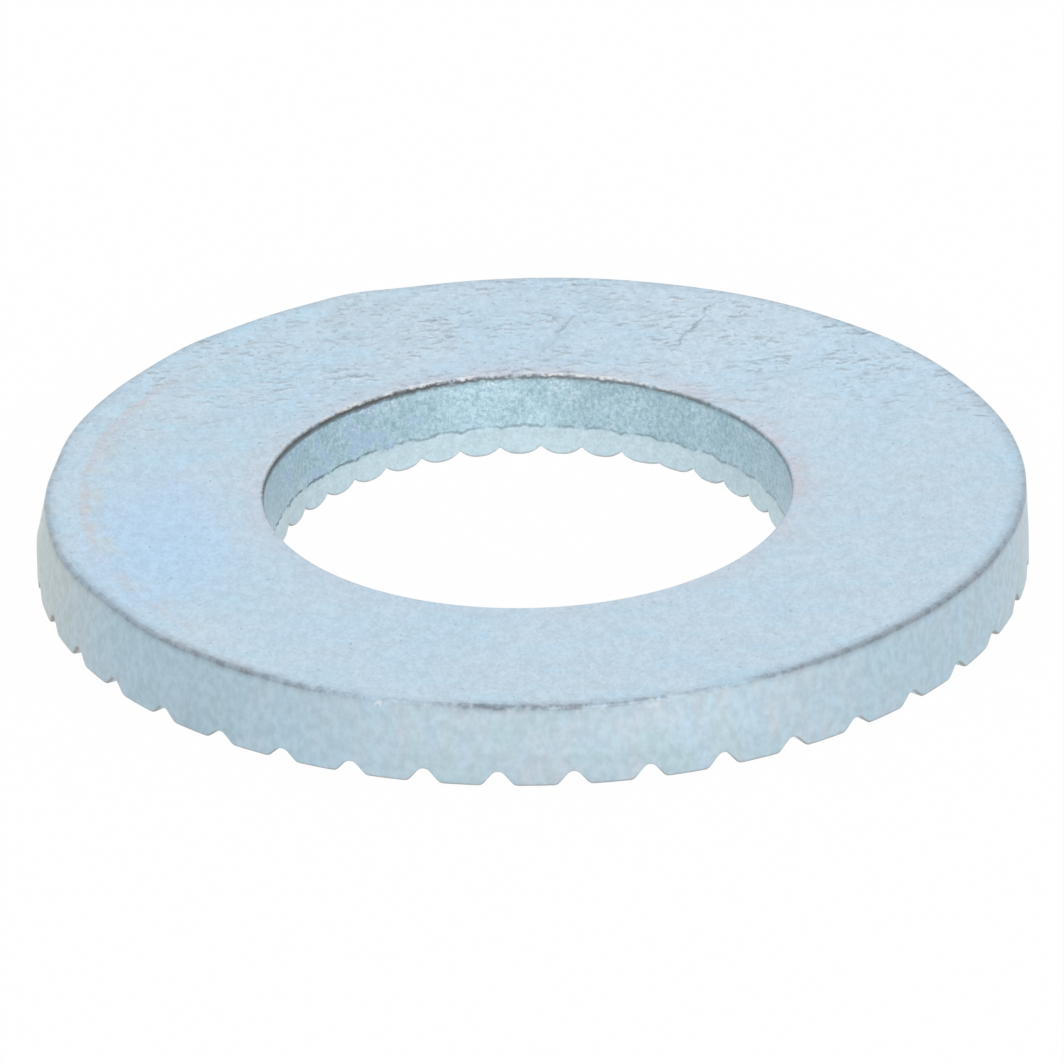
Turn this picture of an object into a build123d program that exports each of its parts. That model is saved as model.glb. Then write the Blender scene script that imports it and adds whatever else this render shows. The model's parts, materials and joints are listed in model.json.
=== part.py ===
from build123d import *
import os
import math

os.makedirs("parts", exist_ok=True)

# Toothed lock washer: a flat punched ring with radial teeth coined into one face.
# The teeth point down (-Z) and the plain face looks up. The origin is the centre
# of the bore, halfway through the thickness. All sizes are in millimetres.

# ---- ring -------------------------------------------------------------------
thickness = 2.08            # plain face to tooth lands
bore_diameter = 13.0        # clearance hole for an M12 bolt
plain_diameter = 24.0       # flat upper face, measured inside its rounded edge
edge_roll = 0.08            # rounding that the punch leaves round the upper rim
bore_roll = 0.06            # the same round the upper mouth of the bore
blank_offset_x = 0.18       # the outline was punched this far off the bore axis
blank_offset_y = 0.10

# ---- metal pushed out by the coining ----------------------------------------
rim_bulge = 0.12            # how far the lower rim stands out beyond the upper wall
rim_bulge_height = 0.80     # the wall slopes out down to here, above the lands
rim_lean = 0.08             # the swollen foot sits this far back, towards the tooth axis
rim_foot_round = 0.10       # rounding of the rim's lower edge
bore_lip = 0.14             # how far the lower lip stands into the bore
bore_lip_height = 0.50      # top of the lip's straight part, above the lands
bore_lip_ramp = 0.18        # height over which the lip fades into the bore wall
bore_foot_round = 0.09      # rounding of the lip's lower edge

# ---- teeth ------------------------------------------------------------------
tooth_count = 40
tooth_phase = 0.65          # degrees, from -Y to the middle of the nearest land
tooth_axis_x = -0.08        # the coining die stood this far off the bore axis
tooth_axis_y = -0.21
groove_depth_rim = 0.38     # radial V grooves, deepest at the rim
groove_depth_bore = 0.21
groove_angle_rim = 40.0     # each flank from the vertical, in degrees
groove_angle_bore = 50.0
groove_root_rim = 0.20      # radius at the bottom of the groove
groove_root_bore = 0.06
land_round_rim = 0.15       # radius of the edges where flanks meet lands
land_round_bore = 0.24
cutter_margin = 0.60        # how far the cutting tools run past the ring all round
cutter_dip = 0.006          # the groove cutter's shoulders pass this far under the lands

# ---- derived ----------------------------------------------------------------
upper_z = thickness / 2
land_z = -thickness / 2
bore_radius = bore_diameter / 2
lip_radius = bore_radius - bore_lip
wall_radius = plain_diameter / 2 + edge_roll
rim_radius = wall_radius + rim_bulge
tooth_pitch = 360 / tooth_count
first_groove = -90 + tooth_phase + tooth_pitch / 2


def outline_circle(height, radius, lean):
    """The outline at a height above the lands, for lofting the outer wall."""
    with BuildSketch(Plane.XY.offset(land_z + height)) as section:
        with Locations((blank_offset_x - lean, blank_offset_y)):
            Circle(radius)
    return section


def along_tooth(at_bore, at_rim, radius):
    """A size that changes evenly along the tooth, taken at one radius."""
    share = (radius - lip_radius) / (rim_radius - lip_radius)
    return at_bore + (at_rim - at_bore) * share


def groove_section(radius):
    """Section of one groove with its rounded root and rounded tooth edges."""
    root = along_tooth(groove_root_bore, groove_root_rim, radius)
    edge = along_tooth(land_round_bore, land_round_rim, radius)
    depth = along_tooth(groove_depth_bore, groove_depth_rim, radius)
    slope = math.radians(along_tooth(groove_angle_bore, groove_angle_rim, radius))
    sharp_depth = depth + cutter_dip + root * (1 / math.sin(slope) - 1)
    half_mouth = sharp_depth * math.tan(slope)
    half_width = half_mouth + edge
    shoulder = (radius, 0, land_z - cutter_dip)
    section_plane = Plane(origin=shoulder, x_dir=(0, 1, 0), z_dir=(1, 0, 0))
    with BuildSketch(section_plane) as section:
        with BuildLine():
            Polyline(
                (-half_width, -cutter_margin),
                (half_width, -cutter_margin),
                (half_width, 0),
                (half_mouth, 0),
                (0, sharp_depth),
                (-half_mouth, 0),
                (-half_width, 0),
                close=True,
            )
        make_face()
        by_height = section.vertices().sort_by(Axis.Y)
        fillet(by_height[-1], radius=root)
        at_lands = section.vertices().group_by(Axis.Y)[1]
        fillet(at_lands.sort_by(Axis.X)[1:3], radius=edge)
    return section


# ---- the bore: straight wall, ramp and inward lip -----------------------------
with BuildPart() as bore_tool:
    ramp_foot = land_z + bore_lip_height
    ramp_head = ramp_foot + bore_lip_ramp
    with BuildSketch(Plane.XZ):
        with BuildLine():
            Polyline(
                (0, land_z - cutter_margin),
                (lip_radius, land_z - cutter_margin),
                (lip_radius, ramp_foot),
                (bore_radius, ramp_head),
                (bore_radius, upper_z + cutter_margin),
                (0, upper_z + cutter_margin),
                close=True,
            )
        make_face()
    revolve(axis=Axis.Z)

# ---- the ring: the wall slopes out from the upper rim to the swollen foot -----
with BuildPart() as ring:
    foot = outline_circle(0, rim_radius, rim_lean)
    widest = outline_circle(rim_bulge_height, rim_radius, rim_lean)
    sheared = outline_circle(thickness, wall_radius, 0)
    loft([foot.sketch, widest.sketch, sheared.sketch], ruled=True)
    add(bore_tool.part, mode=Mode.SUBTRACT)
    bore_mouth, upper_rim = ring.edges().group_by(Axis.Z)[-1].sort_by(SortBy.LENGTH)
    fillet(upper_rim, radius=edge_roll)
    fillet(bore_mouth, radius=bore_roll)
    bore_foot, lower_rim = ring.edges().group_by(Axis.Z)[0].sort_by(SortBy.LENGTH)
    fillet(lower_rim, radius=rim_foot_round)
    fillet(bore_foot, radius=bore_foot_round)

# ---- one groove between two teeth, tapering towards the bore -----------------
with BuildPart() as groove:
    inner = groove_section(lip_radius - cutter_margin)
    outer = groove_section(rim_radius + cutter_margin)
    loft([inner.sketch, outer.sketch], ruled=True)

# ---- the washer ---------------------------------------------------------------
with BuildPart() as washer:
    add(ring.part)
    with Locations((tooth_axis_x, tooth_axis_y)):
        with PolarLocations(0, tooth_count, start_angle=first_groove):
            add(groove.part, mode=Mode.SUBTRACT)
washer.part.label = "washer"
export_step(washer.part, "parts/washer.step")
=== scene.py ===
"""Looks of the toothed lock washer: its worn zinc-plated body, the floor, the light and the camera."""

import json
import logging
import math
import random
from dataclasses import dataclass, field
from enum import Enum

import bmesh
import bpy
from mathutils import Matrix, Vector

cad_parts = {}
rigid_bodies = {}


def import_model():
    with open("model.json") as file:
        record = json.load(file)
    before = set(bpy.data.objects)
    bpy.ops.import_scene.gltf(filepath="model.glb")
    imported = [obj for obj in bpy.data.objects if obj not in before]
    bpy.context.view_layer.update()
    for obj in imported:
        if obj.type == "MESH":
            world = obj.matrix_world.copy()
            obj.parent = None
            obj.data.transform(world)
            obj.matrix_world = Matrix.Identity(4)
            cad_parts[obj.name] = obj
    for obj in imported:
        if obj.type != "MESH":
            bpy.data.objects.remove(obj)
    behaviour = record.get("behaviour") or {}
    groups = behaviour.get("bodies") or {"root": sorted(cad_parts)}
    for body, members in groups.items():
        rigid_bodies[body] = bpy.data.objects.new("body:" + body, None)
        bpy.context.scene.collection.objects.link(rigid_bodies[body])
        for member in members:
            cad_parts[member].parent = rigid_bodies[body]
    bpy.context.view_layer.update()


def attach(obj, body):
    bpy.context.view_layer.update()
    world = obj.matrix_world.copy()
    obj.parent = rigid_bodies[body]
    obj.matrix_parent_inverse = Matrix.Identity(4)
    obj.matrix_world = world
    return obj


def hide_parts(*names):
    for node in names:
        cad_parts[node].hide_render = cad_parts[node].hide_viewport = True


LOG = logging.getLogger("lock_washer")
MM = 0.001
Socket = bpy.types.NodeSocket
Value = Socket | float
Tone = tuple[float, float, float]
Stops = tuple[tuple[float, float], ...]


def srgb(tone: Tone) -> tuple[float, float, float, float]:
    """Turn a display colour into the linear colour that shaders take.

    Args:
        tone: Red, green and blue from 0 to 255.

    Returns:
        Linear red, green and blue, with an alpha of 1.
    """
    linear = []
    for channel in tone:
        share = channel / 255
        linear.append(share / 12.92 if share <= 0.04045 else ((share + 0.055) / 1.055) ** 2.4)
    return (linear[0], linear[1], linear[2], 1.0)


# ---- the washer's body


class Side(Enum):
    """The part of the ring that a point of the section belongs to."""

    TOP = "top"
    RIM = "rim"
    UNDER = "under"
    BORE = "bore"


@dataclass(frozen=True)
class Circle:
    """A circle in plan, in millimetres."""

    centre_x: float
    centre_y: float
    radius: float

    def reach(self, axis: tuple[float, float], angle: float) -> float:
        """Distance from an axis inside the circle to the circle, along one direction.

        Args:
            axis: X and Y of the axis.
            angle: Direction in radians, from +X.

        Returns:
            The distance in millimetres.
        """
        from_x = axis[0] - self.centre_x
        from_y = axis[1] - self.centre_y
        along = from_x * math.cos(angle) + from_y * math.sin(angle)
        return -along + math.sqrt(along * along - from_x**2 - from_y**2 + self.radius**2)


@dataclass(frozen=True)
class GrooveShape:
    """Cross section of a V groove with a rounded root and a rounded mouth.

    Attributes:
        depth: Depth of the rounded root, in millimetres.
        slope: Each flank's angle from the vertical, in degrees.
        root: Radius of the root.
        edge: Radius of the edges of the mouth.
    """

    depth: float
    slope: float
    root: float
    edge: float

    def rise(self, aside: float) -> float:
        """Height of the groove's surface above the lands.

        Args:
            aside: Distance from the middle of the groove, in millimetres.

        Returns:
            The height in millimetres, 0 on the lands.
        """
        aside = abs(aside)
        slope = math.radians(self.slope)
        sharp = self.depth + self.root * (1 / math.sin(slope) - 1)
        half_mouth = sharp * math.tan(slope)
        tangent = self.edge * math.tan((math.pi / 2 - slope) / 2)
        middle = half_mouth + tangent
        if aside < self.root * math.cos(slope):
            return self.depth - self.root + math.sqrt(self.root**2 - aside**2)
        if aside < half_mouth - tangent * math.sin(slope):
            return sharp - aside / math.tan(slope)
        if aside < middle:
            return self.edge - math.sqrt(max(self.edge**2 - (middle - aside) ** 2, 0.0))
        return 0.0


@dataclass(frozen=True)
class SectionPoint:
    """One point of the ring's section.

    Attributes:
        side: The part of the ring that the point is on.
        share: Place across the ring, 0 at the bore and 1 at the rim.
        inset: How far the point stands back from its wall, in millimetres.
        height: Height above the lands, in millimetres.
    """

    side: Side
    share: float
    inset: float
    height: float


@dataclass(frozen=True)
class Column:
    """What the ring measures at one angle round the tooth axis, in millimetres."""

    across: float
    along: float
    rim_top: float
    rim_foot: float
    bore: float
    lip: float
    notch: float
    lip_top: float
    rim_rise: float
    bore_rise: float
    raised: float


@dataclass(frozen=True)
class Wear:
    """How one groove differs from the others.

    Attributes:
        turn: How far it is turned out of its place, in degrees.
        rim: Its depth at the rim, as a share of the nominal depth.
        bore: Its depth at the bore, as a share of the nominal depth.
    """

    turn: float = 0.0
    rim: float = 1.0
    bore: float = 1.0


GROOVE_WEAR = {
    -7: Wear(-0.1, 0.86),
    -6: Wear(0.45, 0.78),
    -5: Wear(0.65, 0.75),
    -4: Wear(0.5, 0.82),
    -3: Wear(0.4, 0.95),
    -2: Wear(0.33, 0.95),
    -1: Wear(0.1, 1.07),
    0: Wear(-0.05, 1.04),
    1: Wear(-0.1),
    2: Wear(-0.12),
    3: Wear(-0.1),
    4: Wear(0.0, 0.78),
    5: Wear(0.0, 0.80),
    6: Wear(0.0, 0.80),
    7: Wear(0.0, 0.76),
    16: Wear(bore=0.3),
}


@dataclass
class WasherBody:
    """The coined ring: plain upper face, sheared walls and radial teeth underneath."""

    thickness: float = 2.08
    tooth_count: int = 40
    steps_per_tooth: int = 28
    tooth_axis: tuple[float, float] = (-0.08, -0.21)
    tooth_phase: float = 0.65
    top: Circle = Circle(0.205, 0.10, 12.055)
    foot: Circle = Circle(0.10, 0.10, 12.195)
    bore: Circle = Circle(0.0, 0.0, 6.5)
    lip: Circle = Circle(0.05, -0.10, 6.32)
    widest_height: float = 0.80
    edge_roll: float = 0.08
    foot_round: float = 0.08
    bore_roll: float = 0.06
    lip_height: float = 0.69
    lip_scallop: float = 0.09
    lobe_depth: float = 0.07
    groove_reach: float = 1.1
    rim_groove: GrooveShape = GrooveShape(0.375, 39.0, 0.20, 0.17)
    bore_groove: GrooveShape = GrooveShape(0.19, 50.0, 0.04, 0.60)
    land_raise: float = 0.03
    land_tilt: float = 0.0033
    rim_marks: tuple[tuple[float, float, float], ...] = (
        (168.5, 6.0, -0.07),
        (133.0, 5.0, 0.08),
        (118.0, 9.0, 0.10),
        (110.0, 4.5, 0.14),
        (72.0, 8.0, -0.03),
        (50.0, 8.0, -0.05),
        (27.0, 9.0, -0.04),
        (-45.0, 28.0, -0.19),
        (-68.0, 10.0, -0.05),
        (-97.0, 12.0, -0.10),
        (-128.0, 12.0, -0.05),
        (-151.0, 6.0, -0.09),
        (-166.0, 5.0, 0.03),
    )
    face_rows: tuple[float, ...] = (0.02, 0.15, 0.4, 0.65, 0.88, 0.98)
    rim_rows: tuple[float, ...] = (
        1.86, 1.74, 1.6, 1.4, 1.2, 1.05, 0.92, 0.8,
        0.68, 0.56, 0.45, 0.34, 0.24, 0.16, 0.1,
    )
    under_rows: tuple[float, ...] = (0.93, 0.8, 0.6, 0.4, 0.2, 0.07)
    bore_rows: tuple[float, ...] = (
        0.1, 0.18, 0.27, 0.36, 0.44, 0.5, 0.54, 0.58, 0.62, 0.66,
        0.7, 0.74, 0.78, 0.84, 0.95, 1.15, 1.4, 1.65, 1.85,
    )
    arc_steps: int = 4
    trace_names: tuple[str, ...] = ("lip_edge", "rim_path", "bore_path", "foot_path", "under")
    elsewhere: float = -6.0
    lobe_roundness: float = 0.92
    lift_fade: float = 1.5
    bore_raise: float = 0.2
    unevenness: float = 0.07
    seed: int = 7
    columns: dict[int, Column] = field(default_factory=dict)

    def arc(self, side: Side, radius: float, angles: list[float], upper: bool) -> list[SectionPoint]:
        """Round one edge of the section.

        Args:
            side: The wall that the edge belongs to.
            radius: Radius of the rounding.
            angles: Directions along the rounding, 0 at the wall and a quarter turn at the face.
            upper: Whether it is the wall's upper edge.

        Returns:
            The points of the rounding, in the order of the angles.
        """
        share = 1.0 if side is Side.RIM else 0.0
        found = []
        for angle in angles:
            inset = radius * (1 - math.cos(angle))
            drop = radius * (1 - math.sin(angle))
            found.append(SectionPoint(side, share, inset, self.thickness - drop if upper else drop))
        return found

    def section(self) -> list[SectionPoint]:
        """Lay out the ring's section, from the bore's upper edge over the top and round.

        Returns:
            The points of the closed section, in order.
        """
        quarter = [math.radians(90 * turn / self.arc_steps) for turn in range(self.arc_steps + 1)]
        found = [SectionPoint(Side.TOP, share, 0.0, self.thickness) for share in self.face_rows]
        found += self.arc(Side.RIM, self.edge_roll, quarter[::-1], True)
        found += [SectionPoint(Side.RIM, 1.0, 0.0, height) for height in self.rim_rows]
        found += self.arc(Side.RIM, self.foot_round, quarter[1:], False)
        found += [SectionPoint(Side.UNDER, share, 0.0, 0.0) for share in self.under_rows]
        found += self.arc(Side.BORE, self.foot_round, quarter[:0:-1], False)
        found += [SectionPoint(Side.BORE, 0.0, 0.0, height) for height in self.bore_rows]
        return found + self.arc(Side.BORE, self.bore_roll, quarter, True)

    def build(self) -> bpy.types.Object:
        """Spin the section round the tooth axis and shape the teeth into it.

        Returns:
            The washer's object, in metres in the shared frame.
        """
        points = self.section()
        steps = self.tooth_count * self.steps_per_tooth
        shape = bmesh.new()
        row = shape.verts.layers.int.new("row")
        traces = {name: shape.verts.layers.float.new(name) for name in self.trace_names}
        ring = []
        for index, point in enumerate(points):
            radius = self.bore.radius + (self.top.radius - self.bore.radius) * point.share
            vert = shape.verts.new((radius * MM, 0.0, (point.height - self.thickness / 2) * MM))
            vert[row] = index
            ring.append(vert)
        edges = [shape.edges.new(pair) for pair in zip(ring, ring[1:] + ring[:1])]
        bmesh.ops.spin(
            shape,
            geom=ring + edges,
            cent=(0, 0, 0),
            axis=(0, 0, 1),
            angle=math.tau,
            steps=steps,
            use_merge=True,
            use_duplicate=False,
        )
        for vert in shape.verts:
            step = round(math.atan2(vert.co.y, vert.co.x) / math.tau * steps) % steps
            column = self.column(step)
            point = points[vert[row]]
            vert.co = self.place(point, column)
            for name, value in self.trace(point, column).items():
                vert[traces[name]] = value
        bmesh.ops.recalc_face_normals(shape, faces=shape.faces)
        for face in shape.faces:
            face.smooth = True
        mesh = bpy.data.meshes.new("washer_body")
        shape.to_mesh(mesh)
        shape.free()
        body = bpy.data.objects.new("washer_body", mesh)
        bpy.context.scene.collection.objects.link(body)
        return body

    def trace(self, point: SectionPoint, column: Column) -> dict[str, float]:
        """Note where a point lies in relation to the edges, for the finish.

        Args:
            point: The point of the section.
            column: The ring's measures at that angle.

        Returns:
            Distances in millimetres: down from the lip's edge, from the rim's and the bore's
            upper edges (negative on the face) and up from the foot. Under is 1 on the toothed side.
        """
        under = self.thickness - point.height
        width = self.top.radius - self.bore.radius
        outer_half = point.share > 0.5
        away = self.elsewhere
        rim_path = {Side.TOP: (point.share - 1) * width, Side.RIM: under, Side.BORE: away}
        bore_path = {Side.TOP: -point.share * width, Side.BORE: under, Side.RIM: away}
        return {
            "lip_edge": column.lip_top - point.height if point.side is Side.BORE else -1.0,
            "rim_path": rim_path.get(point.side, under if outer_half else away),
            "bore_path": bore_path.get(point.side, away if outer_half else under),
            "foot_path": 0.5 if point.side is Side.UNDER else point.height,
            "under": 1.0 if point.side is Side.UNDER else 0.0,
        }

    def column(self, step: int) -> Column:
        """Measure the ring at one step of the spin, once.

        Args:
            step: Number of the step, from +X.

        Returns:
            The reaches from the tooth axis and the heights of the teeth there.
        """
        if step in self.columns:
            return self.columns[step]
        angle = math.tau * step / (self.tooth_count * self.steps_per_tooth)
        pitch = math.tau / self.tooth_count
        turns = (angle - math.radians(self.tooth_phase - 90) - pitch / 2) / pitch
        groove = round(turns)
        half_round = self.tooth_count // 2
        number = (groove + half_round) % self.tooth_count - half_round
        wear = GROOVE_WEAR.get(number, Wear())
        aside = (turns - groove) * pitch - math.radians(wear.turn)
        dice = random.Random(self.seed * 100 + groove % self.tooth_count)
        rim_deep = wear.rim * (1 + dice.uniform(-self.unevenness, self.unevenness))
        bore_deep = wear.bore * (1 + dice.uniform(-self.unevenness, self.unevenness))
        rim_foot = self.foot.reach(self.tooth_axis, angle)
        lip = self.lip.reach(self.tooth_axis, angle)
        lobe = math.sqrt(1 - self.lobe_roundness * (1 - 2 * abs(turns - groove)) ** 2)
        raised = self.land_raise - self.land_tilt * rim_foot * math.cos(angle)
        raised = min(max(raised, 0.0), 2 * self.land_raise)
        made = Column(
            across=math.cos(angle),
            along=math.sin(angle),
            rim_top=self.top.reach(self.tooth_axis, angle) + self.knocked(angle),
            rim_foot=rim_foot,
            bore=self.bore.reach(self.tooth_axis, angle),
            lip=lip,
            notch=self.lobe_depth * (1 - lobe),
            lip_top=self.lip_height + self.lip_scallop * lobe,
            rim_rise=rim_deep * self.rim_groove.rise(aside * rim_foot),
            bore_rise=bore_deep * self.bore_groove.rise(aside * lip),
            raised=raised,
        )
        self.columns[step] = made
        return made

    def knocked(self, angle: float) -> float:
        """How far the upper rim is dented in or pushed out at one direction, in millimetres."""
        push = 0.0
        for direction, width, amount in self.rim_marks:
            off = (math.degrees(angle) - direction + 180) % 360 - 180
            push += amount * math.exp(-((off / width) ** 2))
        return push

    def place(self, point: SectionPoint, column: Column) -> Vector:
        """Find where one point of the section ends up in one column.

        Args:
            point: The point of the section.
            column: The ring's measures at that angle.

        Returns:
            The place in metres.
        """
        height = point.height
        lift = 0.0
        if point.side is Side.RIM:
            share = max(height - self.widest_height, 0.0) / (self.thickness - self.widest_height)
            reach = column.rim_foot + (column.rim_top - column.rim_foot) * share - point.inset
            near_foot = max(1 - height / self.groove_reach, 0.0)
            lift = (column.rim_rise + column.raised) * near_foot**self.lift_fade
        elif point.side is Side.BORE:
            fade = (height - self.lip_height) / (self.thickness - self.lip_height)
            near_foot = max(1 - height / self.lip_height, 0.0)
            reach = column.lip + (column.bore - column.lip) * min(max(fade, 0.0), 1.0)
            reach += column.notch * near_foot + point.inset
            lift = column.bore_rise + self.bore_raise * column.raised
            lift *= near_foot**self.lift_fade
        elif point.side is Side.TOP:
            inner = column.bore + self.bore_roll
            reach = inner + (column.rim_top - self.edge_roll - inner) * point.share
        else:
            inner = column.lip + column.notch + self.foot_round
            reach = inner + (column.rim_foot - self.foot_round - inner) * point.share
            lift = column.bore_rise + (column.rim_rise - column.bore_rise) * point.share
            lift += column.raised * (self.bore_raise + (1 - self.bore_raise) * point.share)
        x = self.tooth_axis[0] + reach * column.across
        y = self.tooth_axis[1] + reach * column.along
        return Vector((x, y, height + lift - self.thickness / 2)) * MM


# ---- finishes


@dataclass
class Bench:
    """The node tree of a material or a world, with short ways to add to it."""

    owner: bpy.types.Material | bpy.types.World

    @classmethod
    def named(cls, name: str) -> "Bench":
        """Start a new material.

        Args:
            name: The material's name.

        Returns:
            The bench for its nodes.
        """
        material = bpy.data.materials.new(name)
        material.use_nodes = True
        return cls(material)

    @property
    def shader(self) -> bpy.types.Node:
        """The material's main shader."""
        return self.owner.node_tree.nodes["Principled BSDF"]

    def node(self, kind: str, **settings: object) -> bpy.types.Node:
        """Add a node and set its properties."""
        made = self.owner.node_tree.nodes.new(kind)
        for name, setting in settings.items():
            setattr(made, name, setting)
        return made

    def feed(self, socket: Socket, value: Value | tuple) -> None:
        """Link a socket to an input, or write a plain value there."""
        if isinstance(value, bpy.types.NodeSocket):
            self.owner.node_tree.links.new(value, socket)
        else:
            socket.default_value = value

    def math(self, kind: str, first: Value, second: Value = 0.0) -> Socket:
        """Combine one or two numbers."""
        made = self.node("ShaderNodeMath", operation=kind)
        self.feed(made.inputs[0], first)
        self.feed(made.inputs[1], second)
        return made.outputs[0]

    def product(self, *factors: Value) -> Socket:
        """Multiply several numbers."""
        total = factors[0]
        for factor in factors[1:]:
            total = self.math("MULTIPLY", total, factor)
        return total

    def either(self, *shares: Value) -> Socket:
        """Take the largest of several numbers."""
        total = shares[0]
        for share in shares[1:]:
            total = self.math("MAXIMUM", total, share)
        return total

    def ramp(self, value: Value, start: float, end: float, low: float = 0.0, high: float = 1.0) -> Socket:
        """Rise smoothly from low to high while a number goes from start to end.

        Args:
            value: The number.
            start: Where the rise starts.
            end: Where it ends; it may lie below start.
            low: The result up to the start.
            high: The result from the end on.

        Returns:
            The result's socket.
        """
        made = self.node("ShaderNodeMapRange", interpolation_type="SMOOTHSTEP")
        self.feed(made.inputs["Value"], value)
        if start > end:
            start, end, low, high = end, start, high, low
        made.inputs["From Min"].default_value = start
        made.inputs["From Max"].default_value = end
        made.inputs["To Min"].default_value = low
        made.inputs["To Max"].default_value = high
        return made.outputs["Result"]

    def trace(self, name: str) -> Socket:
        """Read a number that the body's points carry."""
        return self.node("ShaderNodeAttribute", attribute_name=name).outputs["Fac"]

    def band(self, value: Value, middle: float, half: float, soft: float) -> Socket:
        """Be 1 close to one value and fade to 0 on both sides of it."""
        away = self.math("ABSOLUTE", self.math("SUBTRACT", value, middle))
        return self.ramp(away, half + soft, half)

    def vector(self, kind: str, first: Socket, second: Socket | tuple, result: str = "Vector") -> Socket:
        """Combine two vectors."""
        made = self.node("ShaderNodeVectorMath", operation=kind)
        self.feed(made.inputs[0], first)
        self.feed(made.inputs[1], second)
        return made.outputs[result]

    def scaled(self, place: Socket, x: float, y: float, z: float) -> Socket:
        """Stretch a place along its axes."""
        return self.vector("MULTIPLY", place, (x, y, z))

    def from_point(self, place: Socket, x: float, y: float) -> Socket:
        """Distance in plan from a point, in millimetres."""
        return self.vector("DISTANCE", self.scaled(place, 1, 1, 0), (x, y, 0), "Value")

    def sway(self, value: Value, noise: Socket, amount: Value) -> Socket:
        """Move a number to and fro by a noise that is centred on 0.5."""
        return self.math("ADD", value, self.product(self.math("SUBTRACT", noise, 0.5), amount))

    def mix(self, share: Value, under: Socket | tuple, over: Socket | tuple) -> Socket:
        """Lay one colour over another."""
        made = self.node("ShaderNodeMix", data_type="RGBA")
        self.feed(made.inputs[0], share)
        self.feed(made.inputs[6], under)
        self.feed(made.inputs[7], over)
        return made.outputs[2]

    def stain(self, colour: Socket | tuple, tone: Tone, *shares: Value) -> Socket:
        """Lay a tone over a colour, as strongly as the product of the shares."""
        return self.mix(self.product(*shares), colour, srgb(tone))

    def blend(self, share: Value, under: Tone, over: Tone) -> Socket:
        """Go from one tone to another."""
        return self.mix(share, srgb(under), srgb(over))

    def lit(self, colour: Socket, level: Value) -> Socket:
        """Make a colour lighter or darker by a factor."""
        made = self.node("ShaderNodeVectorMath", operation="SCALE")
        self.feed(made.inputs[0], colour)
        self.feed(made.inputs["Scale"], level)
        return made.outputs[0]


@dataclass
class RingBench(Bench):
    """A bench that also knows where on the washer a place lies, in millimetres and degrees.

    Attributes:
        place: The place itself.
        x: Its X.
        y: Its Y.
        depth: Depth under the upper face.
        rim: Distance from the outline's centre, in plan.
        hole: Distance from the bore axis, in plan.
        angle: Direction round the bore, from -180 to 180.
    """

    place: Socket
    x: Socket
    y: Socket
    depth: Socket
    rim: Socket
    hole: Socket
    angle: Socket

    @classmethod
    def over(cls, plain: Bench, half_thickness: float, outline: tuple[float, float]) -> "RingBench":
        """Measure the place from the object's own coordinates.

        Args:
            plain: The material's bench.
            half_thickness: Height of the upper face, in millimetres.
            outline: X and Y of the outline's centre.

        Returns:
            The bench with the measured place.
        """
        metres = plain.node("ShaderNodeTexCoord").outputs["Object"]
        place = plain.scaled(metres, 1 / MM, 1 / MM, 1 / MM)
        split = plain.node("ShaderNodeSeparateXYZ")
        plain.feed(split.inputs[0], place)
        x, y, z = split.outputs
        return cls(
            owner=plain.owner,
            place=place,
            x=x,
            y=y,
            depth=plain.math("SUBTRACT", half_thickness, z),
            rim=plain.from_point(place, *outline),
            hole=plain.from_point(place, 0.0, 0.0),
            angle=plain.math("DEGREES", plain.math("ARCTAN2", y, x)),
        )

    def noise(
        self, scale: float, detail: float = 2.0, rough: float = 0.5, bend: float = 0.0,
        stretch: tuple[float, float, float] = (1, 1, 1),
    ) -> Socket:
        """Noise between about 0.25 and 0.75, centred on 0.5; stretch squeezes it along each axis."""
        made = self.node("ShaderNodeTexNoise")
        self.feed(made.inputs["Vector"], self.scaled(self.place, *stretch))
        made.inputs["Scale"].default_value = scale
        made.inputs["Detail"].default_value = detail
        made.inputs["Roughness"].default_value = rough
        made.inputs["Distortion"].default_value = bend
        return made.outputs[0]

    def dial(self, stops: Stops) -> Socket:
        """Read a number that changes round the ring.

        Args:
            stops: Pairs of a direction in degrees and the number there, in rising order.

        Returns:
            The number at each place's direction.
        """
        made = self.node("ShaderNodeValToRGB")
        turned = self.math("DIVIDE", self.angle, 360.0)
        self.feed(made.inputs["Fac"], self.math("ADD", turned, 0.5))
        marks = made.color_ramp.elements
        while len(marks) < len(stops):
            marks.new(0.5)
        for mark, (direction, number) in zip(marks, stops):
            mark.position = direction / 360 + 0.5
            mark.color = (number, number, number, 1)
        return made.outputs["Color"]

    def shaded(self, colour: Socket | tuple, halves: Stops) -> Socket:
        """Paint light and shade into a colour round the ring; the stops hold half of each factor."""
        return self.lit(colour, self.product(self.dial(halves), 2.0))


@dataclass(frozen=True)
class Stroke:
    """A scratch on the upper face, from one end to the other, in millimetres."""

    x0: float
    y0: float
    x1: float
    y1: float
    width: float
    strength: float

    def mask(self, bench: Bench, x: Socket, y: Socket) -> Socket:
        """Mark the scratch.

        Args:
            bench: Its bench.
            x: X in millimetres.
            y: Y in millimetres.

        Returns:
            Its strength at each place.
        """
        run = math.hypot(self.x1 - self.x0, self.y1 - self.y0)
        unit_x = (self.x1 - self.x0) / run
        unit_y = (self.y1 - self.y0) / run
        from_x = bench.math("SUBTRACT", x, self.x0)
        from_y = bench.math("SUBTRACT", y, self.y0)
        along = bench.math("ADD", bench.product(from_x, unit_x), bench.product(from_y, unit_y))
        aside = bench.math("SUBTRACT", bench.product(from_y, unit_x), bench.product(from_x, unit_y))
        inside = bench.band(along, run / 2, run / 2 - 0.06, 0.12)
        across = bench.band(aside, 0.0, self.width / 4, self.width / 2)
        return bench.product(across, inside, self.strength)


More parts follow.
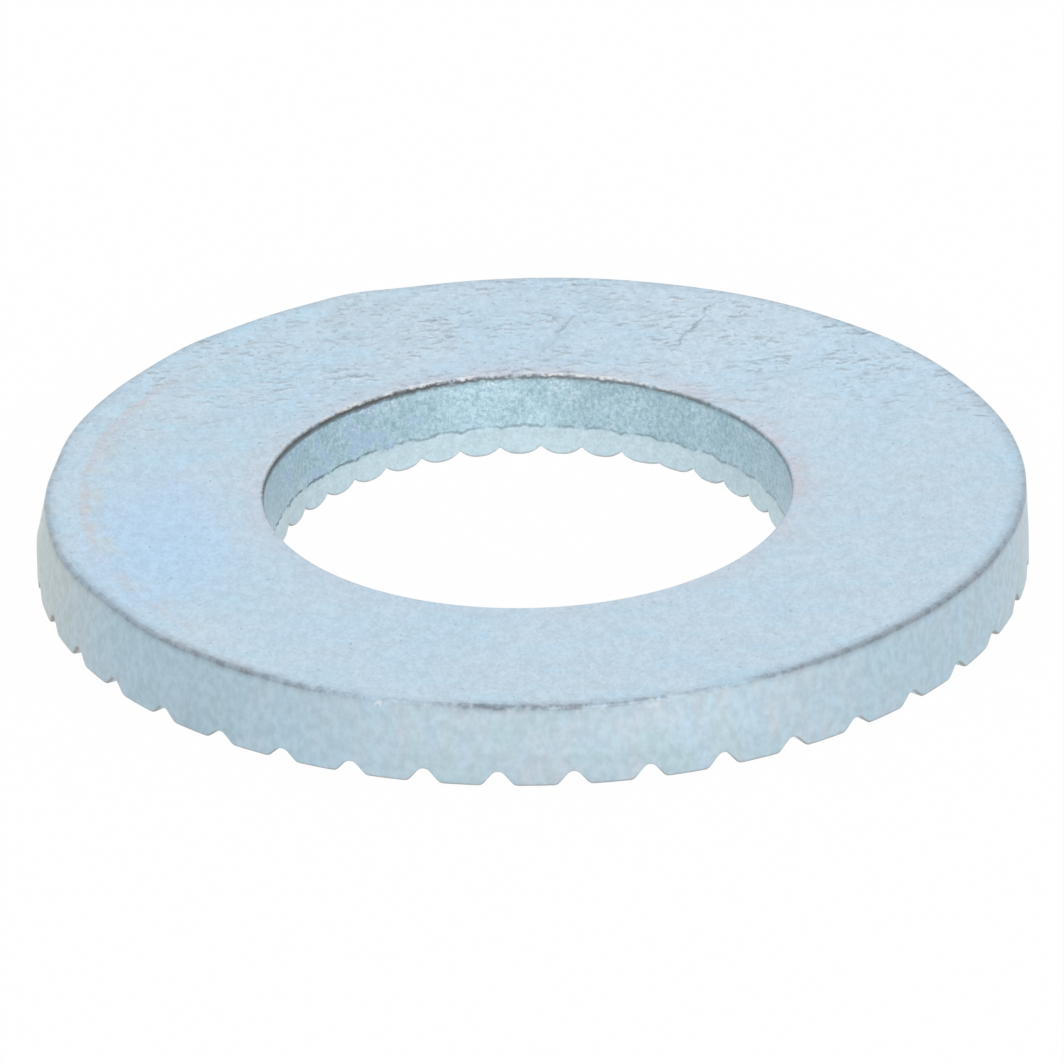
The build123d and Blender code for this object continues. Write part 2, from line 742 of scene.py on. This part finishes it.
@dataclass(frozen=True)
class Dent:
    """One size of short dents.

    Attributes:
        scale: Dents to a millimetre, along X and Y.
        length: Largest half length, in millimetres.
        width: Width over which a dent fades, in millimetres.
        strength: How dark the painted shade of the dents is.
    """

    scale: float
    length: float
    width: float
    strength: float


@dataclass(frozen=True)
class ZincPlate:
    """Bright zinc plate with a blue passivate: tones, stains, grain and wear, and painted light, shade,
    reflections and highlights.

    Tones are display colours. Stops run round the ring, from -180 to 180 degrees; those that end
    in light hold half of a factor.
    """

    top_tone: Tone = (194, 218, 235)
    top_pale: Tone = (199, 218, 232)
    top_cool: Tone = (188, 221, 239)
    blue_patch: Tone = (187, 218, 245)
    pink_film: Tone = (206, 206, 217)
    straw_film: Tone = (202, 212, 216)
    wall_tone: Tone = (190, 211, 224)
    wall_green: Tone = (187, 209, 216)
    wall_grey: Tone = (197, 210, 219)
    wall_straw: Tone = (196, 206, 203)
    wall_cool: Tone = (180, 210, 226)
    bore_tone: Tone = (215, 240, 249)
    bore_dark: Tone = (160, 195, 210)
    # Painted glints in the bore's grain.
    bore_painted_glint: Tone = (250, 254, 255)
    bore_violet: Tone = (184, 205, 238)
    lip_tone: Tone = (213, 235, 244)
    # Painted dark reflection and shade along the upper rim.
    rim_shade_tone: Tone = (116, 121, 130)
    # Painted shade in the crease above the bore's lip.
    lip_crease_shade: Tone = (108, 128, 134)
    # Painted dark reflection and shade along the bore's mouth.
    mouth_shade_tone: Tone = (96, 99, 102)
    # Soil, pits and scratches, and the painted shade in dents.
    marks_and_dent_shade_tone: Tone = (140, 160, 174)
    # Painted highlights on dent lips, the rim and the bore's mouth.
    highlight_tone: Tone = (244, 246, 246)
    foot_tone: Tone = (154, 145, 140)
    metal: float = 0.7
    bump_height: float = 0.00002
    half_thickness: float = 1.04
    outline: tuple[float, float] = (0.18, 0.10)

    face_cool: Stops = (
        (-180, 0.5), (-90, 0.5), (0, 0.45), (60, 0.2), (105, 0.2),
        (125, 0.75), (155, 0.75), (180, 0.5),
    )
    # Painted light on the upper face, a little brighter towards the far right.
    face_painted_light: Stops = (
        (-180, 0.5), (0, 0.5), (25, 0.513), (60, 0.513), (85, 0.504),
        (110, 0.5), (180, 0.5),
    )
    film_ring: Stops = (
        (-180, 1), (-165, 1), (-130, 0.15), (-60, 0.1), (30, 0.05),
        (100, 0.1), (135, 0.5), (150, 1), (180, 1),
    )
    film_halo: Stops = (
        (-180, 0.55), (-120, 0.25), (-40, 0.4), (0, 0.95), (40, 0.8),
        (95, 0.75), (140, 0.5), (180, 0.55),
    )
    wall_straw_share: Stops = (
        (-180, 1), (-168, 0.8), (-156, 0.4), (-146, 0.05), (-125, 0),
        (0, 0), (150, 0.3), (180, 1),
    )
    wall_cool_share: Stops = (
        (-180, 0), (-158, 0.1), (-147, 0.75), (-132, 0.7), (-115, 0.65), (-102, 0.1),
        (-60, 0.1), (-46, 0.6), (-32, 0.5), (-10, 0.1), (180, 0),
    )
    # Painted light and shade on the outer wall, brightest at the front right.
    wall_painted_light: Stops = (
        (-180, 0.475), (-168, 0.453), (-150, 0.444), (-132, 0.442), (-116, 0.478),
        (-104, 0.503), (-88, 0.492), (-68, 0.515), (-46, 0.484), (-15, 0.461),
        (60, 0.48), (180, 0.475),
    )
    violet_share: Stops = ((-180, 0.2), (95, 0.0), (125, 0.5), (155, 0.5), (180, 0.2))
    # Painted shade in the bore, lightest on the far wall.
    bore_painted_light: Stops = (
        (-180, 0.40), (-90, 0.41), (0, 0.425), (45, 0.45), (90, 0.475),
        (110, 0.472), (130, 0.462), (160, 0.405), (180, 0.40),
    )
    # Painted shade on the bore's lip, a little darker on the left.
    lip_painted_light: Stops = ((-180, 0.49), (-120, 0.5), (110, 0.5), (135, 0.487), (180, 0.487))
    # How strong the painted crease shade is round the ring.
    lip_crease_shade_share: Stops = (
        (-180, 0.8), (-90, 0.5), (0, 0.55), (60, 0.5), (115, 0.45),
        (135, 0.75), (160, 0.8), (180, 0.8),
    )
    # How strong the painted rim reflection and shade is round the ring.
    rim_shade_share: Stops = (
        (-180, 0.5), (-150, 0.75), (-125, 0.9), (-114, 0.6), (-109, 0.2), (-101, 0.3),
        (-98, 0.85), (-93, 1), (-83, 0.85), (-79, 0.55), (-75, 0.4), (-65, 0.35),
        (-60, 0.8), (-30, 0.95), (0, 0.55), (30, 0.45), (90, 0.35), (150, 0.4), (180, 0.5),
    )
    rim_steady: Stops = (
        (-180, 0.9), (-125, 0.9), (-110, 0.0), (-64, 0.0), (-56, 1.0),
        (-5, 1.0), (20, 0.3), (180, 0.5),
    )
    # Where the painted highlights on the upper rim sit.
    rim_highlight_share: Stops = (
        (-180, 0), (-109.5, 0), (-107.7, 1.0), (-106, 0.05), (-103, 0.05), (-101.5, 0.45),
        (-100, 0), (-78, 0), (-74.5, 0.6), (-72, 0.2), (-60, 0), (180, 0),
    )
    mouth_ragged: Stops = (
        (-180, 0.05), (50, 0.05), (68, 0.2), (125, 0.2), (140, 0.06), (180, 0.05),
    )
    # How strong the painted dark reflection at the bore's mouth is round the ring.
    mouth_dark_reflection: Stops = (
        (-180, 0.9), (-170, 0.3), (-10, 0.3), (0, 0.5), (50, 0.7), (75, 0.7),
        (95, 0.8), (110, 1), (150, 1), (180, 0.9),
    )
    # How strong the painted shade below the bore's mouth is round the ring.
    mouth_shade: Stops = (
        (-180, 0.3), (-165, 0.0), (20, 0.0), (45, 0.2), (75, 0.2),
        (105, 0.4), (125, 0.75), (155, 0.75), (180, 0.3),
    )
    # Where the painted highlight along the bore's mouth shows.
    mouth_highlight_share: Stops = (
        (-180, 0), (50, 0), (60, 0.7), (80, 0.9), (95, 0.5),
        (100, 0.9), (118, 0.9), (140, 0.5), (165, 0.3), (180, 0),
    )
    dents: tuple[Dent, ...] = (
        Dent(1.6, 0.26, 0.10, 0.56),
        Dent(2.9, 0.14, 0.09, 0.5),
        Dent(4.3, 0.07, 0.07, 0.32),
    )
    strokes: tuple[Stroke, ...] = (
        Stroke(9.35, 7.35, 9.75, 7.3, 0.07, 0.7),
        Stroke(10.0, 6.55, 10.3, 6.62, 0.06, 0.5),
        Stroke(10.05, 5.95, 10.65, 6.05, 0.06, 0.75),
        Stroke(10.75, 4.85, 11.2, 4.95, 0.06, 0.7),
        Stroke(11.0, 4.2, 11.5, 4.25, 0.05, 0.65),
        Stroke(11.2, 3.6, 11.65, 3.55, 0.07, 0.8),
        Stroke(11.65, 2.7, 11.85, 2.75, 0.06, 0.6),
        Stroke(0.45, 7.7, 0.95, 9.2, 0.2, 0.25),
        Stroke(0.85, 8.9, 1.3, 9.8, 0.1, 0.6),
        Stroke(4.25, 8.9, 4.7, 10.3, 0.08, 0.65),
        Stroke(3.7, 7.6, 4.3, 9.0, 0.08, 0.5),
        Stroke(4.7, 10.2, 5.2, 10.6, 0.07, 0.3),
        Stroke(5.4, 6.9, 6.2, 7.15, 0.06, 0.5),
    )

    def make(self) -> bpy.types.Material:
        """Build the material.

        Returns:
            The finished material.
        """
        plain = Bench.named("zinc_plate")
        bench = RingBench.over(plain, self.half_thickness, self.outline)
        below_rim = bench.ramp(bench.trace("rim_path"), 0.03, 0.09)
        on_rim = bench.product(bench.ramp(bench.rim, 11.3, 11.4), below_rim)
        below_mouth = bench.ramp(bench.trace("bore_path"), 0.02, 0.07)
        on_bore = bench.product(bench.ramp(bench.hole, 7.0, 6.9), below_mouth)
        under = bench.ramp(bench.trace("under"), 0.1, 0.6)
        colour = bench.mix(on_rim, self.face(bench), self.wall(bench))
        colour = bench.mix(on_bore, colour, self.bore_wall(bench))
        colour = bench.mix(under, colour, self.toothed(bench))
        # The painted edge reflections, shade and highlights are kept to the upper part.
        edged = self.mouth_edge(bench, self.rim_edge(bench, colour))
        colour = bench.mix(bench.ramp(bench.depth, 1.6, 1.4), colour, edged)
        foot = bench.ramp(bench.trace("foot_path"), 0.1, 0.01)
        colour = bench.stain(colour, self.foot_tone, foot, 0.75)
        shader = bench.shader
        bench.feed(shader.inputs["Base Color"], colour)
        shader.inputs["Metallic"].default_value = self.metal
        dull = bench.noise(9.0, 3.0)
        bench.feed(shader.inputs["Roughness"], bench.ramp(dull, 0.3, 0.7, 0.36, 0.5))
        self.bump(bench, on_bore)
        return bench.owner

    def mottle(self, bench: RingBench, colour: Socket, depth: float) -> Socket:
        """Break a colour up with fine grain.

        Args:
            bench: Its bench.
            colour: The colour so far.
            depth: How strong the grain is; 0.1 is about 3 percent either way.

        Returns:
            The grained colour.
        """
        coarse = bench.noise(4.5, stretch=(1, 0.6, 1))
        fine = bench.noise(13.0, 2.0, 0.6, stretch=(1, 0.6, 1))
        both = bench.math("ADD", bench.product(coarse, 0.4), bench.product(fine, 0.6))
        return bench.lit(colour, bench.ramp(both, 0.3, 0.7, 1 - depth, 1 + depth))

    def face(self, bench: RingBench) -> Socket:
        """Colour the plain upper face with its stains, films, pits and scratches, painted light that is
        brighter towards the far side and varies round the ring, and dents drawn with painted shade and
        highlights.

        Args:
            bench: Its bench.

        Returns:
            The face's colour.
        """
        broad = bench.noise(0.32, 2.0, 0.5, 0.4)
        cloudy = bench.noise(0.75, 3.0, stretch=(1, 1.6, 1))
        cool = bench.dial(self.face_cool)
        colour = bench.blend(bench.ramp(broad, 0.38, 0.62), self.top_tone, self.top_pale)
        colour = bench.stain(colour, self.top_cool, bench.ramp(cloudy, 0.45, 0.7), cool)
        patch_x = bench.product(bench.math("ADD", bench.x, 9.0), 0.55)
        patch_y = bench.product(bench.math("ADD", bench.y, 2.4), 0.30)
        squares = bench.math("ADD", bench.product(patch_x, patch_x), bench.product(patch_y, patch_y))
        away = bench.sway(bench.math("SQRT", squares), cloudy, 1.2)
        colour = bench.stain(colour, self.blue_patch, bench.ramp(away, 1.45, 0.3, 0.0, 0.75))
        colour = self.films(bench, colour, cloudy)
        colour = self.mottle(bench, colour, 0.09)
        # Painted light: the far side a little brighter, and lighter or darker round the ring.
        colour = bench.lit(colour, bench.ramp(bench.y, 2.0, 8.0, 1.0, 1.03))
        colour = bench.shaded(colour, self.face_painted_light)
        far = bench.ramp(bench.y, 1.0, 7.5)
        soil = bench.noise(1.3, 4.0, 0.65, 0.8, stretch=(1, 1.3, 1))
        colour = bench.stain(colour, self.marks_and_dent_shade_tone, bench.ramp(soil, 0.48, 0.66), far, 0.13)
        colour = self.pits(bench, colour, far)
        colour = self.nicks(bench, colour, far)
        bend = bench.noise(1.1, 3.0, 0.6)
        x = bench.sway(bench.x, bend, 0.9)
        y = bench.sway(bench.y, bend, -0.5)
        faded = bench.ramp(bench.noise(3.4), 0.35, 0.6, 0.35, 1.0)
        for stroke in self.strokes:
            colour = bench.stain(colour, self.marks_and_dent_shade_tone, stroke.mask(bench, x, y), faded)
        return colour

    def films(self, bench: RingBench, colour: Socket, cloudy: Socket) -> Socket:
        """Lay the thin pink and straw rings near the rim and the pink halo at the bore.

        Args:
            bench: Its bench.
            colour: The colour so far.
            cloudy: Noise that thins the rings.

        Returns:
            The filmed colour.
        """
        waver = bench.noise(1.3)
        reach = bench.sway(bench.rim, waver, 0.5)
        left = bench.dial(self.film_ring)
        thinned = bench.product(left, bench.ramp(waver, 0.3, 0.55, 0.2, 1.0))
        pink = bench.product(bench.band(reach, 11.1, 0.05, 0.16), thinned)
        colour = bench.stain(colour, self.pink_film, pink, bench.ramp(cloudy, 0.4, 0.6, 0.3, 0.7))
        straw = bench.product(bench.band(reach, 10.85, 0.1, 0.35), left)
        colour = bench.stain(colour, self.straw_film, straw, bench.ramp(cloudy, 0.45, 0.6), 0.6)
        near_bore = bench.product(bench.ramp(bench.hole, 7.5, 6.6), bench.ramp(waver, 0.3, 0.6, 0.15, 1.0))
        halo = bench.dial(self.film_halo)
        return bench.stain(colour, self.pink_film, near_bore, halo, 0.8)

    def pits(self, bench: RingBench, colour: Socket, far: Socket) -> Socket:
        """Scatter fine dark pits over the face.

        Args:
            bench: Its bench.
            colour: The colour so far.
            far: Where the pits are denser.

        Returns:
            The pitted colour.
        """
        speck = bench.noise(7.5, 1.0, stretch=(1, 0.7, 1))
        cluster = bench.ramp(bench.noise(0.9, 1.0), 0.4, 0.6)
        limit = bench.math("SUBTRACT", 0.72, bench.product(far, cluster, 0.07))
        over = bench.math("SUBTRACT", speck, limit)
        return bench.stain(colour, self.marks_and_dent_shade_tone, bench.ramp(over, 0.0, 0.06, 0.0, 0.45))

    def nicks(self, bench: RingBench, colour: Socket, far: Socket) -> Socket:
        """Scatter short dents that run nearly along X, each drawn as a line of painted shade with a painted
        highlight along one lip.

        Args:
            bench: Its bench.
            colour: The colour so far.
            far: Share of the dented area.

        Returns:
            The dented colour.
        """
        crowd = bench.ramp(bench.noise(0.7, 3.0, 0.6), 0.40, 0.58, 0.2, 1.0)
        for dent in self.dents:
            across, shown = self.scattered(bench, dent)
            seen = bench.product(far, crowd, dent.strength, shown)
            # Painted shade in each dent and a painted highlight beside it.
            dark = bench.band(across, 0.0, 0.01, dent.width)
            colour = bench.stain(colour, self.marks_and_dent_shade_tone, dark, seen)
            light = bench.band(across, -1.2 * dent.width, 0.01, dent.width)
            colour = bench.stain(colour, self.highlight_tone, light, seen, 0.45)
        return colour

    def scattered(self, bench: RingBench, dent: Dent) -> tuple[Socket, Socket]:
        """Scatter one size of dents, one to a cell, at chance tilts and lengths.

        Args:
            bench: Its bench.
            dent: The size of the dents.

        Returns:
            Distance across the nearest dent, and how much of it shows.
        """
        swirl = bench.node("ShaderNodeTexNoise")
        bench.feed(swirl.inputs["Vector"], bench.place)
        swirl.inputs["Scale"].default_value = 2.2 * dent.scale
        bends = bench.scaled(swirl.outputs["Color"], 0.44 / dent.scale, 0.75 / dent.scale, 0)
        wander = bench.vector("ADD", bench.place, bends)
        cells = bench.node("ShaderNodeTexVoronoi", voronoi_dimensions="2D")
        bench.feed(cells.inputs["Vector"], wander)
        cells.inputs["Scale"].default_value = dent.scale
        flat = bench.node("ShaderNodeSeparateXYZ")
        bench.feed(flat.inputs[0], bench.vector("SUBTRACT", wander, cells.outputs["Position"]))
        chance = bench.node("ShaderNodeSeparateColor")
        bench.feed(chance.inputs[0], cells.outputs["Color"])
        tilt = bench.math("SUBTRACT", bench.product(chance.outputs[0], 0.8), 0.3)
        across = bench.math("SUBTRACT", flat.outputs[1], bench.product(flat.outputs[0], tilt))
        reach = bench.math("ADD", bench.product(chance.outputs[1], dent.length), 0.04)
        end = bench.math("SUBTRACT", bench.math("ABSOLUTE", flat.outputs[0]), reach)
        shown = bench.product(bench.ramp(end, 0.06, -0.06), bench.ramp(chance.outputs[2], 0.3, 0.8))
        return across, shown

    def wall(self, bench: RingBench) -> Socket:
        """Colour the outer wall: matt, with upright streaks, soft patches and painted light and shade round
        the ring.

        Args:
            bench: Its bench.

        Returns:
            The wall's colour.
        """
        streaks = bench.noise(1.8, 3.0, 0.55, stretch=(1, 1, 0.4))
        patches = bench.noise(0.9, 2.0, 0.5, 0.5)
        colour = bench.blend(bench.ramp(streaks, 0.4, 0.62), self.wall_tone, self.wall_grey)
        colour = bench.stain(colour, self.wall_green, bench.ramp(patches, 0.45, 0.65), 0.8)
        straw = bench.dial(self.wall_straw_share)
        colour = bench.stain(colour, self.wall_straw, straw, 0.8)
        cool = bench.dial(self.wall_cool_share)
        colour = bench.stain(colour, self.wall_cool, cool, 0.8)
        # Painted light and shade round the wall.
        colour = bench.shaded(colour, self.wall_painted_light)
        soft = bench.noise(5.0, 4.0, 0.6, stretch=(1, 1, 0.8))
        return bench.lit(colour, bench.ramp(soft, 0.3, 0.7, 0.925, 1.075))

    def bore_wall(self, bench: RingBench) -> Socket:
        """Colour the bore: grainy with painted glints above, smooth and pale on the lip with painted shade, a
        broken line of painted shade in the crease between, and painted shade round the ring.

        Args:
            bench: Its bench.

        Returns:
            The bore's colour.
        """
        edge = bench.sway(bench.trace("lip_edge"), bench.noise(3.0, 3.0, 0.6), 0.2)
        grain = bench.noise(9.0, 4.0, 0.8)
        colour = bench.blend(bench.ramp(grain, 0.3, 0.7), self.bore_dark, self.bore_tone)
        broad = bench.noise(1.3, 3.0, 0.6, 0.6)
        colour = bench.lit(colour, bench.ramp(broad, 0.35, 0.65, 0.955, 1.04))
        violet = bench.dial(self.violet_share)
        colour = bench.stain(colour, self.bore_violet, bench.ramp(broad, 0.5, 0.62), violet)
        # Painted glints near the upper mouth.
        specks = bench.ramp(bench.noise(16.0, 1.0), 0.585, 0.665)
        high = bench.ramp(bench.depth, 1.1, 0.1, 0.06, 0.8)
        colour = bench.stain(colour, self.bore_painted_glint, specks, high, bench.ramp(broad, 0.4, 0.6))
        # Painted shade on the lip round the ring.
        lip = bench.shaded(srgb(self.lip_tone)[:3], self.lip_painted_light)
        lip = self.mottle(bench, lip, 0.1)
        colour = bench.mix(bench.ramp(edge, -0.05, 0.03), colour, lip)
        # A broken line of painted shade in the crease above the lip.
        broken = bench.noise(2.2, 3.0, 0.7, stretch=(1, 1, 0.5))
        line = bench.product(bench.band(edge, -0.025, 0.01, 0.045), bench.ramp(broken, 0.38, 0.54))
        colour = bench.stain(colour, self.lip_crease_shade, line, bench.dial(self.lip_crease_shade_share))
        # Painted shade round the bore, lightest on the far wall.
        return bench.shaded(colour, self.bore_painted_light)

    def toothed(self, bench: RingBench) -> Socket:
        """Colour the coined underside: pale lands, duller grooves, small marks from the die drawn with
        painted shade and highlights.

        Args:
            bench: Its bench.

        Returns:
            The underside's colour.
        """
        patches = bench.noise(0.6, 3.0, 0.55, 0.5)
        groove = bench.blend(bench.ramp(patches, 0.4, 0.62), self.wall_cool, self.wall_green)
        land = bench.blend(bench.ramp(patches, 0.38, 0.62), self.top_tone, self.top_pale)
        colour = bench.mix(bench.ramp(bench.depth, 1.9, 2.03), groove, land)
        colour = self.mottle(bench, colour, 0.09)
        # Die marks with painted shade and highlights.
        colour = self.nicks(bench, colour, bench.ramp(patches, 0.4, 0.7, 0.1, 0.8))
        rubbed = bench.ramp(bench.noise(2.4, 3.0, 0.6), 0.5, 0.66, 0.0, 0.5)
        return bench.stain(colour, self.wall_grey, rubbed, bench.ramp(bench.depth, 1.98, 2.05))

    def rim_edge(self, bench: RingBench, colour: Socket) -> Socket:
        """Paint a dark line of reflection and shade along the upper rim, with a few painted highlights.

        Args:
            bench: Its bench.
            colour: The colour so far.

        Returns:
            The edged colour.
        """
        darkened = bench.dial(self.rim_shade_share)
        steady = bench.dial(self.rim_steady)
        uneven = bench.noise(1.7, 4.0, 0.65)
        path = bench.sway(bench.trace("rim_path"), uneven, bench.ramp(steady, 0.0, 1.0, 0.14, 0.05))
        breakup = bench.ramp(bench.noise(3.0, 3.0, 0.7), 0.35, 0.62, 0.35, 1.1)
        broken = bench.math("MAXIMUM", breakup, bench.product(steady, 0.8))
        # Painted dark reflection and shade: a soft band on the face and wall beside the edge, and a darker
        # line on it.
        on_face = bench.product(bench.ramp(path, -0.34, 0.02), bench.ramp(path, 0.12, 0.02), 0.42)
        on_wall = bench.product(bench.ramp(path, -0.02, 0.06), bench.ramp(path, 0.27, 0.05), 0.4)
        shade = bench.math("ADD", on_face, on_wall)
        colour = bench.stain(colour, self.rim_shade_tone, shade, darkened, broken)
        line = bench.band(path, 0.03, 0.01, 0.09)
        colour = bench.stain(colour, self.rim_shade_tone, line, darkened, broken, 0.42)
        # Painted highlights at a few places on the edge.
        bright = bench.product(bench.band(path, 0.07, 0.07, 0.14), bench.dial(self.rim_highlight_share))
        sparks = bench.ramp(bench.noise(4.0), 0.52, 0.64)
        return bench.stain(colour, self.highlight_tone, bright, sparks, 0.8)

    def mouth_edge(self, bench: RingBench, colour: Socket) -> Socket:
        """Paint a dark line of reflection, a band of shade below it and a bright highlight line along the
        bore's upper mouth.

        Args:
            bench: Its bench.
            colour: The colour so far.

        Returns:
            The edged colour.
        """
        ragged = bench.noise(6.0, 3.0, 0.75)
        path = bench.trace("bore_path")
        path = bench.sway(path, ragged, bench.dial(self.mouth_ragged))
        breakup = bench.noise(3.0, 3.0, 0.7)
        # Painted dark reflection on the mouth's edge.
        dark = bench.product(bench.band(path, 0.055, 0.02, 0.05), bench.dial(self.mouth_dark_reflection))
        colour = bench.stain(colour, self.mouth_shade_tone, dark, bench.ramp(breakup, 0.3, 0.5, 0.35, 1.0))
        # Painted shade just below it.
        shade = bench.band(path, 0.09, 0.035, 0.07)
        colour = bench.stain(colour, self.mouth_shade_tone, shade, bench.dial(self.mouth_shade))
        # Painted highlight along the very edge.
        gleam = bench.product(bench.band(path, -0.005, 0.015, 0.04), bench.dial(self.mouth_highlight_share))
        glitter = bench.ramp(bench.noise(7.0), 0.35, 0.55, 0.3, 1.0)
        return bench.stain(colour, self.highlight_tone, gleam, bench.ramp(breakup, 0.42, 0.54), glitter)

    def bump(self, bench: RingBench, on_bore: Socket) -> None:
        """Give the surface a fine grain that catches the light, rougher in the bore.

        Args:
            bench: Its bench.
            on_bore: Share of the bore wall.
        """
        made = bench.node("ShaderNodeBump")
        bench.feed(made.inputs["Height"], bench.noise(8.0, 3.0, 0.6))
        made.inputs["Distance"].default_value = self.bump_height
        bench.feed(made.inputs["Strength"], bench.ramp(on_bore, 0.0, 1.0, 0.25, 0.8))
        bench.feed(bench.shader.inputs["Normal"], made.outputs[0])


@dataclass(frozen=True)
class FloorPaper:
    """White paper that the camera sees as nearly pure white, with a faint shadow left."""

    tone: Tone = (250, 250, 250)
    glow: float = 0.98

    def make(self) -> bpy.types.Material:
        """Build the material.

        Returns:
            The finished material.
        """
        bench = Bench.named("floor_paper")
        paper = bench.shader
        paper.inputs["Base Color"].default_value = srgb(self.tone)
        paper.inputs["Roughness"].default_value = 0.9
        white = bench.node("ShaderNodeEmission")
        blend = bench.node("ShaderNodeMixShader")
        bench.feed(blend.inputs[0], bench.product(seen_directly(bench), self.glow))
        bench.feed(blend.inputs[1], paper.outputs[0])
        bench.feed(blend.inputs[2], white.outputs[0])
        bench.feed(bench.owner.node_tree.nodes["Material Output"].inputs[0], blend.outputs[0])
        return bench.owner


def seen_directly(bench: Bench) -> Socket:
    """Be 1 for what the camera sees, straight or mirrored, and 0 for light on the object."""
    path = bench.node("ShaderNodeLightPath")
    kinds = ("Is Camera Ray", "Is Glossy Ray", "Is Transmission Ray")
    return bench.either(*(path.outputs[kind] for kind in kinds))


# ---- the studio


@dataclass
class Studio:
    """The pale floor, the soft light and the camera."""

    floor_depth: float = 1.045
    floor_half: float = 2.5
    room_level: float = 0.74
    lamp_power: float = 0.8
    lamp_place: Vector = field(default_factory=lambda: Vector((0.18, -0.6, 0.3)))
    lamp_width: float = 0.5
    lens: float = 661.29
    camera_place: Vector = field(default_factory=lambda: Vector((0.18, -431.159425, 211.789396)))
    camera_ahead: Vector = field(default_factory=lambda: Vector((-1.91985722e-04, 0.897458610, -0.441098636)))
    camera_up: Vector = field(default_factory=lambda: Vector((0.02108158, 0.44100425, 0.89725739)))

    def floor(self) -> None:
        """Lay the floor just under the lands."""
        shape = bmesh.new()
        lower = Matrix.Translation((0, 0, -self.floor_depth * MM))
        bmesh.ops.create_grid(shape, x_segments=1, y_segments=1, size=self.floor_half, matrix=lower)
        mesh = bpy.data.meshes.new("floor")
        shape.to_mesh(mesh)
        shape.free()
        mesh.materials.append(FloorPaper().make())
        floor = bpy.data.objects.new("floor", mesh)
        bpy.context.scene.collection.objects.link(floor)

    def room(self) -> None:
        """Surround the washer with an even pale room that the camera sees as white."""
        world = bpy.data.worlds.new("pale_room")
        world.use_nodes = True
        bpy.context.scene.world = world
        bench = Bench(world)
        background = world.node_tree.nodes["Background"]
        background.inputs["Color"].default_value = (1, 1, 1, 1)
        path = bench.node("ShaderNodeLightPath")
        seen = bench.either(path.outputs["Is Camera Ray"], path.outputs["Is Glossy Ray"])
        level = bench.node("ShaderNodeMapRange")
        bench.feed(level.inputs["Value"], seen)
        level.inputs["To Min"].default_value = self.room_level
        bench.feed(background.inputs["Strength"], level.outputs["Result"])

    def lamp(self) -> None:
        """Hang one large soft lamp in front."""
        data = bpy.data.lights.new("soft_lamp", "AREA")
        data.shape = "SQUARE"
        data.size = self.lamp_width
        data.energy = self.lamp_power
        lamp = bpy.data.objects.new("soft_lamp", data)
        lamp.location = self.lamp_place
        lamp.rotation_euler = (-self.lamp_place).to_track_quat("-Z", "Y").to_euler()
        bpy.context.scene.collection.objects.link(lamp)

    def camera(self) -> None:
        """Stand the camera far off in front, with a long lens."""
        data = bpy.data.cameras.new("camera")
        data.sensor_width = 36.0
        data.sensor_fit = "HORIZONTAL"
        data.lens = self.lens
        data.clip_end = 10.0
        camera = bpy.data.objects.new("camera", data)
        bpy.context.scene.collection.objects.link(camera)
        ahead = self.camera_ahead.normalized()
        right = ahead.cross(self.camera_up).normalized()
        turn = Matrix((right, right.cross(ahead), -ahead)).transposed().to_4x4()
        camera.matrix_world = Matrix.Translation(self.camera_place * MM) @ turn
        bpy.context.scene.camera = camera


def main() -> None:
    """Build the washer and the studio in order and report each piece."""
    logging.basicConfig(level=logging.INFO, format="%(message)s")
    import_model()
    bpy.context.scene.view_settings.view_transform = "Standard"
    body = WasherBody().build()
    body.data.materials.append(ZincPlate().make())
    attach(body, "root")
    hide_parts("washer")
    LOG.info("washer body: %d vertices", len(body.data.vertices))
    studio = Studio()
    studio.floor()
    LOG.info("floor laid")
    studio.room()
    studio.lamp()
    studio.camera()
    LOG.info("room, lamp and camera ready")


if __name__ == "__main__":
    main()
